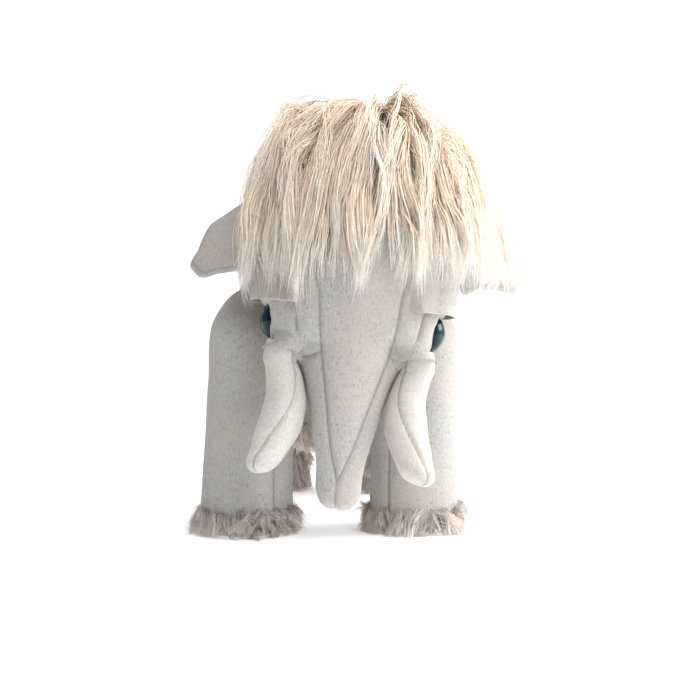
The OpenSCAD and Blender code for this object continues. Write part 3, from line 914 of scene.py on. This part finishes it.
def fill_locks(rng, guides, per, spread, clump, wave):
    """Children round each guide, which draw together towards its tip."""
    count, steps, _ = guides.shape
    paths = np.repeat(guides, per, axis=0)
    total = count * per
    t = np.linspace(0, 1, steps)[None, :, None]
    offset = rng.normal(size=(total, 1, 3)) * spread
    draw = 1 - clump * t ** 0.7
    ends = rng.normal(size=(total, 1, 3)) * spread * 1.1
    paths = paths + offset * draw + ends * t ** 2
    phase = rng.uniform(0, 2 * math.pi, (total, 1, 3))
    speed = rng.uniform(3, 7, (total, 1, 1))
    paths = paths + np.sin(t * speed + phase) * wave * t
    shorten = rng.uniform(0.66, 1.06, (total, 1, 1))
    return paths[:, :1] + (paths - paths[:, :1]) * shorten


def lock_tints(rng, locks, per, between, within):
    """A tint from 0 to 1 for each strand, nearly the same within a lock."""
    lock = np.repeat(rng.normal(0.5, between, locks), per)
    return np.clip(lock + rng.normal(0, within, locks * per), 0, 1)


def scatter(skin, keep, count, rng):
    """Random points on the skin's faces where keep(points, normals) is true."""
    mesh = skin.data
    mesh.calc_loop_triangles()
    tris = np.empty(len(mesh.loop_triangles) * 3, int)
    mesh.loop_triangles.foreach_get("vertices", tris)
    tris = tris.reshape(-1, 3)
    co = vertices(skin)
    corners = co[tris]
    centre = corners.mean(1)
    normal = np.cross(corners[:, 1] - corners[:, 0], corners[:, 2] - corners[:, 0])
    area = np.linalg.norm(normal, axis=1)
    normal /= area[:, None] + 1e-15
    weight = area * keep(centre, normal)
    pick = rng.choice(len(tris), size=count, p=weight / weight.sum())
    u, v = rng.uniform(size=(2, count))
    flip = u + v > 1
    u[flip], v[flip] = 1 - u[flip], 1 - v[flip]
    chosen = corners[pick]
    first, second, third = chosen[:, 0], chosen[:, 1], chosen[:, 2]
    return first + (second - first) * u[:, None] + (third - first) * v[:, None], normal[pick]


def cut_to(path, length, steps):
    """The first part of a path, of the length given, as evenly spaced points."""
    gaps = np.linalg.norm(np.diff(path, axis=0), axis=1)
    run = np.concatenate([[0], np.cumsum(gaps)])
    at = np.linspace(0, min(length, run[-1]), steps)
    return np.column_stack([np.interp(at, run, path[:, k]) for k in range(3)])


CROWN = np.array([10 * MM, -140 * MM])
# (place across the head, height of the mop's hem there), in mm in the head's own frame
HEM = [(-90, 187), (-45, 184), (-10, 193), (20, 197), (50, 200), (90, 203)]
BACK_HEM_RISE = 26 * MM
MOP_GUIDES = 1700
MOP_STEPS = 24
MOP_STRIDE = 5.2 * MM
MOP_PIECES = 8
LOCK_STEPS = 12
LOCK_STRANDS = 12
LOCK_LENGTHS = (80 * MM, 122 * MM)
SHORTEST_LOCK = 22 * MM


def on_scalp(points, normal):
    """Where the mop grows: the head's top, and a little lower in front."""
    local = rows_to_head(points)
    front = np.clip((-150 * MM - local[:, 1]) / (40 * MM), 0, 1)
    return local[:, 2] > (246 - 6 * front) * MM


def comb_mop(tree, rng, roots, normal):
    """Long paths that run from the roots away from the crown and down over the head."""
    count = len(roots)
    local = rows_to_head(roots)
    away = np.zeros_like(local)
    away[:, :2] = local[:, :2] - CROWN
    away[:, 0] += 5 * MM * noise3(local, 30 * MM, 21)
    reach = np.linalg.norm(away, axis=1, keepdims=True)
    away *= np.clip(reach / (30 * MM), 0.15, 1) / (reach + 1e-9)
    flow = away @ np.array([np.array(HEAD_X), (0, 1, 0), np.array(HEAD_UP)])
    frontal = np.clip((-115 * MM - local[:, 1]) / (25 * MM), 0, 1)
    leftwards = np.clip((local[:, 0] - 18 * MM) / (30 * MM), 0, 1) * frontal
    rightwards = np.clip((-local[:, 0]) / (50 * MM), 0, 1)
    top = np.clip((local[:, 2] - 285 * MM) / (30 * MM), 0, 1)
    lift = (2 + 12 * rng.uniform(size=count) ** 0.9) * MM
    lift *= (1 + 0.3 * top) * (1 - 0.4 * rightwards * (1 - top))
    lift *= np.where(rng.uniform(size=count) < 0.07, 1.7, 1.0)
    heading = unit_rows(normal * 0.9 + flow * 0.7 + rng.normal(size=roots.shape) * 0.12)
    paths = np.empty((count, MOP_STEPS, 3))
    paths[:, 0] = roots
    for i in range(1, MOP_STEPS):
        share = i / (MOP_STEPS - 1)
        last = paths[:, i - 1]
        low_down = np.clip((300 * MM - rows_to_head(last)[:, 2]) / (70 * MM), 0, 1)
        outward = 0.5 - 0.45 * low_down + 0.42 * leftwards * low_down
        pull = flow * outward[:, None] + np.outer(0.25 + 0.75 * low_down, (0, 0, -1))
        sway = np.column_stack([noise3(last, 26 * MM, 31 + k) for k in range(3)]) * 0.15
        here = last + unit_rows(heading * 0.66 + pull * 0.42 + sway) * MOP_STRIDE
        low = lift * min(1, share * 4) * (1 - 0.55 * share) + 0.8 * MM
        loose = (1.5 + 2 * low_down + 12 * leftwards * low_down) * MM
        here = hug(tree, here, low, low * 1.15 + loose)
        heading = unit_rows(here - last)
        paths[:, i] = last + heading * MOP_STRIDE
    return paths


def trim_mop(rng, paths):
    """Cuts each path at its own length or at the hem, whichever comes first."""
    across, height = np.array(HEM).T * MM
    guides = np.empty((len(paths), LOCK_STEPS, 3))
    longest = rng.uniform(*LOCK_LENGTHS, len(paths))
    for k, path in enumerate(paths):
        line = rows_to_head(path)
        hem = float(np.interp(line[-1, 0], across, height)) + rng.normal(0, 8 * MM)
        hem += BACK_HEM_RISE * float(smooth_step((line[0, 1] + 135 * MM) / (30 * MM)))
        below = np.nonzero(line[:, 2] < hem)[0]
        length = min(longest[k], below[0] * MOP_STRIDE) if len(below) else longest[k]
        guides[k] = cut_to(path, max(length, SHORTEST_LOCK), LOCK_STEPS)
    return guides


def make_mop(skin, tree):
    """The long mop: locks that fall from the crown round the head to the brow and over one ear."""
    rng = np.random.default_rng(7)
    roots, normal = scatter(skin, on_scalp, MOP_GUIDES, rng)
    guides = trim_mop(rng, comb_mop(tree, rng, roots, normal))
    for k in range(MOP_PIECES):
        some = guides[k::MOP_PIECES]
        paths = fill_locks(rng, some, LOCK_STRANDS, 2.2 * MM, 0.78, 0.9 * MM)
        widths = rng.uniform(0.2, 0.36, len(paths)) * MM
        tints = lock_tints(rng, len(some), LOCK_STRANDS, 0.22, 0.15)
        lock = strand_mesh(f"mop_locks_{k + 1}", paths, widths, tints)
        finish_piece(lock, "head", MOP_FUR, ["hair_mop"] if k == 0 else [])


def short_fur(name, skin, tree, body, node, keep, flow, count, per, length, seed, droop):
    """Shaggy fur where keep is true, in locks that lean with flow; it replaces one CAD node."""
    rng = np.random.default_rng(seed)
    roots, normal = scatter(skin, keep, count, rng)
    aim = flow(roots, normal)
    heading = unit_rows(normal + aim + rng.normal(size=roots.shape) * 0.62)
    lengths = length * rng.uniform(0.4, 1.0, count) ** 0.8 * (1 + 0.3 * noise3(roots, 18 * MM, seed))
    clearance = rng.uniform(1.0, 6.0, count) * MM
    guides = grow_guides(tree, roots, heading, lengths, 8, np.full(count, droop), aim, clearance)
    paths = fill_locks(rng, guides, per, 1.6 * MM, 0.7, 1.0 * MM)
    paths[:, :, 2] = np.maximum(paths[:, :, 2], 0.6 * MM)
    widths = rng.uniform(0.14, 0.28, len(paths)) * MM
    pile = strand_mesh(name, paths, widths, lock_tints(rng, count, per, 0.34, 0.16))
    finish_piece(pile, body, TRIM_FUR, [node])


CUFF_TOP = 21 * MM
INNER_FUR_TOP = 92 * MM


def make_cuff(leg, skin, tree, seed):
    """The fur round a foot; a hind leg has it on its inner side up to the belly as well."""
    hip = joint_at(leg + "_flex")

    def keep(points, normal):
        near = np.hypot(points[:, 0] - hip.x, points[:, 1] - hip.y) < FOOT_R + 8 * MM
        inner = (points[:, 0] - hip.x) * (BODY_X - hip.x) > 22 * MM * abs(BODY_X - hip.x)
        top = np.where(inner & ("hind" in leg), INNER_FUR_TOP, CUFF_TOP)
        return near & (points[:, 2] < top) & (points[:, 2] > 3 * MM) & (np.abs(normal[:, 2]) < 0.75)

    def flow(roots, normal):
        round_leg = np.cross(normal, (0, 0, 1)) * noise3(roots, 22 * MM, seed + 50)[:, None]
        upwards = 0.5 * noise3(roots, 15 * MM, seed + 60) - 0.15
        return normal * 0.2 + round_leg * 0.8 + np.outer(upwards, (0, 0, 1))

    short_fur(leg + "_cuff_fur", skin, tree, leg + "_leg", leg + "_cuff", keep, flow,
              count=640, per=7, length=20 * MM, seed=seed, droop=0.55)


def make_belly(skin, tree):
    """The fur panel under the torso, combed backwards."""

    def keep(points, normal):
        side = np.abs(points[:, 0] - BODY_X) < 46 * MM
        return (side & (points[:, 1] > -78 * MM) & (points[:, 1] < 104 * MM) & (normal[:, 2] < -0.2)
                & (points[:, 2] < 96 * MM) & (points[:, 2] > 30 * MM))

    def flow(roots, normal):
        return np.tile([0.0, 0.5, -0.2], (len(roots), 1))

    short_fur("belly_pile", skin, tree, "torso", "belly_fur", keep, flow,
              count=900, per=5, length=18 * MM, seed=41, droop=0.35)


TAIL_R, TAIL_TIP_R = 7.2 * MM, 4.6 * MM
TAIL_SEAM = math.pi / 2
TUFT_STRANDS = 1500
TUFT_LENGTH = 34 * MM


def make_tail_core(root, end):
    """The tail's linen tube, which curves into the rump where it is sewn in."""
    rings, spokes = 30, 28
    points, seam_mask = [], []
    for i in range(rings + 1):
        f = i / rings
        sewn_in = 17 * MM * max(0.0, 1 - f / 0.28) ** 2
        centre = root + (end - root) * f + Vector((0, 2 * MM * math.sin(math.pi * f) - sewn_in, 0))
        r = (TAIL_R + (TAIL_TIP_R - TAIL_R) * f) * (1 if 0 < i < rings else 0.82)
        for k in range(spokes):
            a = 2 * math.pi * k / spokes
            gap = abs(wrapped(a + TAIL_SEAM)) * r
            q = r - math.exp(-(gap / (1 * MM)) ** 2) * 0.7 * MM
            points.append(centre + Vector((math.cos(a) * q, math.sin(a) * q, 0)))
            seam_mask.append(gap / MM)
    core = new_object("tail_skin", points, tube_faces(rings, spokes))
    attribute(core, "seam", seam_mask)
    fix_normals(core)
    finish_piece(core, "tail", BODY_LINEN, ["tail_core"])


def make_tail():
    """A linen tail with a fur tuft, both on the tail's own body."""
    low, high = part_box("tail_core")
    root = joint_at("tail_swing")
    end = Vector((root.x, high.y - 5 * MM, low.z))
    make_tail_core(root, end)
    rng = np.random.default_rng(61)
    start = np.array(end) + rng.normal(size=(TUFT_STRANDS, 3)) * np.array([2.6, 2.6, 3.5]) * MM
    spread = rng.normal(size=(TUFT_STRANDS, 3)) * np.array([6.0, 6.0, 4.0]) * MM
    t = np.linspace(0, 1, 8)[None, :, None]
    bulge = np.sin(math.pi * t) * 0.9 + 0.25 * t
    drop = np.array([0, 0, -TUFT_LENGTH]) * rng.uniform(0.7, 1.05, (TUFT_STRANDS, 1, 1))
    paths = start[:, None] + drop * t + spread[:, None] * bulge
    widths = rng.uniform(0.22, 0.4, TUFT_STRANDS) * MM
    tints = np.clip(rng.normal(0.5, 0.25, TUFT_STRANDS), 0, 1)
    tuft = strand_mesh("tail_tuft_fur", paths, widths, tints)
    finish_piece(tuft, "tail", TRIM_FUR, ["tail_tuft"])


# ---------------------------------------------------------------- room, light and camera

FLOOR_HALF = 6
GLOW_SIDE = (0.75, 0.62, 0.22)  # the side of the sky that is bright


def make_stage():
    """A white floor and a studio sky that is bright behind the toy's left."""
    corners = [(x * FLOOR_HALF, y * FLOOR_HALF, 0) for x, y in ((-1, -1), (1, -1), (1, 1), (-1, 1))]
    floor = new_object("floor", corners, [(0, 1, 2, 3)])
    n = Nodes("floor_white", Roughness=0.9, Specular_IOR_Level=0.1)
    place = n.add("ShaderNodeTexCoord").outputs["Object"]
    n.link(n.mix(n.noise(place, 3.0), (0.93, 0.93, 0.925), (0.95, 0.95, 0.95)), "Base Color")
    n.shader.inputs["Emission Color"].default_value = (1, 1, 1, 1)
    n.shader.inputs["Emission Strength"].default_value = 0.42
    floor.data.materials.append(n.material)
    world = bpy.data.worlds.new("studio")
    world.use_nodes = True
    tree = world.node_tree
    place = tree.nodes.new("ShaderNodeTexCoord")
    toward = tree.nodes.new("ShaderNodeVectorMath")
    toward.operation = "DOT_PRODUCT"
    toward.inputs[1].default_value = GLOW_SIDE
    level = tree.nodes.new("ShaderNodeMapRange")
    for key, value in {"From Min": -0.6, "From Max": 0.3, "To Min": 0.06, "To Max": 1.1}.items():
        level.inputs[key].default_value = value
    tree.links.new(place.outputs["Generated"], toward.inputs[0])
    tree.links.new(toward.outputs["Value"], level.inputs["Value"])
    tree.links.new(level.outputs["Result"], tree.nodes["Background"].inputs["Strength"])
    tree.nodes["Background"].inputs["Color"].default_value = (1, 1, 1, 1)
    bpy.context.scene.world = world
    bpy.context.scene.view_settings.view_transform = "Standard"


def area_light(name, at, aim, size, power):
    data = bpy.data.lights.new(name, "AREA")
    data.shape = "SQUARE"
    data.size = size
    data.energy = power
    light = bpy.data.objects.new(name, data)
    bpy.context.scene.collection.objects.link(light)
    light.location = at
    light.rotation_euler = (Vector(aim) - Vector(at)).to_track_quat("-Z", "Y").to_euler()


def make_camera():
    data = bpy.data.cameras.new("camera")
    data.lens = 57.9
    data.sensor_width = 36
    camera = bpy.data.objects.new("camera", data)
    bpy.context.scene.collection.objects.link(camera)
    camera.location = (BODY_X + 13 * MM, NECK.y - 955 * MM, 142 * MM)
    camera.rotation_euler = (math.radians(90), 0, 0)
    bpy.context.scene.camera = camera


make_camera()
make_stage()
area_light("key", (1.5, 0.1, 0.8), (0, -0.1, 0.16), 0.9, 30)
area_light("top", (0.4, -0.5, 1.5), (0, -0.1, 0.2), 0.6, 22)
area_light("front", (0.5, -1.6, 0.9), (0, -0.1, 0.15), 0.6, 4)

body, head = make_body(), make_head()
body_tree = tree_of(body)
cut_body(body)
face_tree = tree_of(cut_head(head))
ears = [make_ear(side, sign) for side, sign in SIDES.items()]
for side, sign in SIDES.items():
    make_tusk(side, sign)
    make_eye(side, sign)
    make_brow(side, sign, face_tree)
    make_hood(side, sign, face_tree)
make_mop(head, tree_of(head, body, ears[0]))
for number, leg in enumerate(LEGS):
    make_cuff(leg, body, body_tree, seed=20 + number)
make_belly(body, body_tree)
make_tail()
bpy.data.objects.remove(body)
bpy.data.objects.remove(head)
for side in SIDES:
    washer = frame["nodes"][f"eye_washer_{side}"]
    washer.data.materials.clear()
    washer.data.materials.append(plain_felt(f"washer_{side}", (0.9, 0.9, 0.88)))
